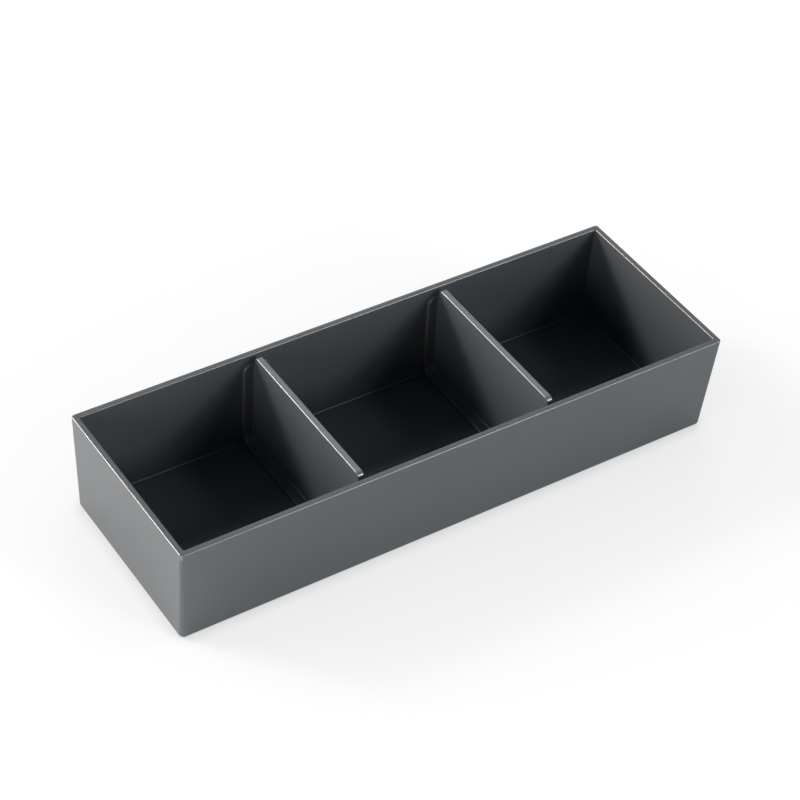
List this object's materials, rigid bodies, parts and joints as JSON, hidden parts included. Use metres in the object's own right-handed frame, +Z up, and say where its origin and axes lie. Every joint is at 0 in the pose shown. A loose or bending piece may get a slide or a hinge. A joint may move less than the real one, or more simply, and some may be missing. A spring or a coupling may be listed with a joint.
{
  "type": "drawer organiser box",
  "caption": "Long open rectangular organiser box with drafted walls and loose T-section dividers that stand across it and lift out.",
  "frame": {"origin": "centre of the underside of the box", "axes": "+X along the box's length, +Y across its width, +Z up through the open top"},
  "size_m": [0.3, 0.103, 0.056],
  "materials": {
    "tray": "satin, very finely grained, anthracite",
    "divider": "satin, very finely grained, anthracite"
  },
  "bodies": {
    "box": {"tray": "tray"},
    "left_divider": {"left_divider": "divider"},
    "right_divider": {"right_divider": "divider"}
  },
  "joints": [
    {"name": "left_divider_lift", "type": "slide", "parent": "box", "child": "left_divider", "axis": [0, 0, 1], "range_m": [0, 0.06]},
    {"name": "right_divider_lift", "type": "slide", "parent": "box", "child": "right_divider", "axis": [0, 0, 1], "range_m": [0, 0.06]}
  ]
}
